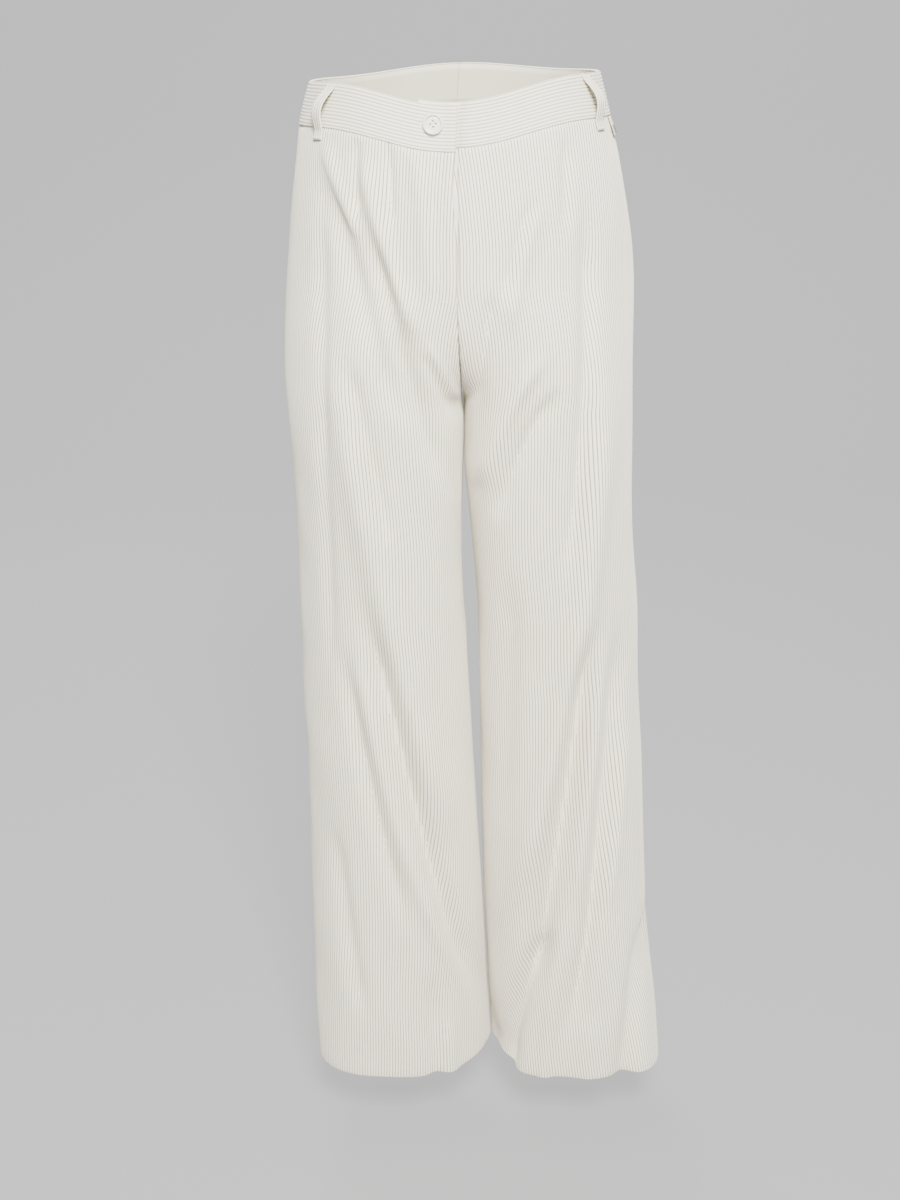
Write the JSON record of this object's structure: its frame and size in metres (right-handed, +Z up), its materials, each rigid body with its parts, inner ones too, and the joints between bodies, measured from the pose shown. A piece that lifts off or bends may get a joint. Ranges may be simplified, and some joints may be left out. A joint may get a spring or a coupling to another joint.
{
  "type": "corduroy trousers",
  "caption": "Wide-leg corduroy trousers with a waistband, belt loops, lapped zip fly and a button, in hollow worn form.",
  "frame": {"origin": "centre of the waist opening, level with the waistband's top edge at the side seams", "axes": "+Z up along the body, -Y to the front, +X to the wearer's left"},
  "size_m": [0.3969, 0.2497, 1.0519],
  "materials": {
    "corduroy": "off-white cotton corduroy, soft cut pile in narrow ribs",
    "button": "glossy cream polyester with a raised rim",
    "metal": "satin nickel",
    "zip_tape": "woven polyester tape"
  },
  "bodies": {
    "root": {"front_right": "corduroy", "front_left": "corduroy", "back_right": "corduroy", "back_left": "corduroy", "waistband_right": "corduroy", "waistband_left": "corduroy", "belt_loop_front_right": "corduroy", "belt_loop_front_left": "corduroy", "belt_loop_back_right": "corduroy", "belt_loop_back_left": "corduroy", "belt_loop_centre_back": "corduroy", "zip": "zip_tape", "zip_slider": "metal", "button": "button", "side_tab": "corduroy", "side_tab_plate": "metal"}
  },
  "joints": []
}
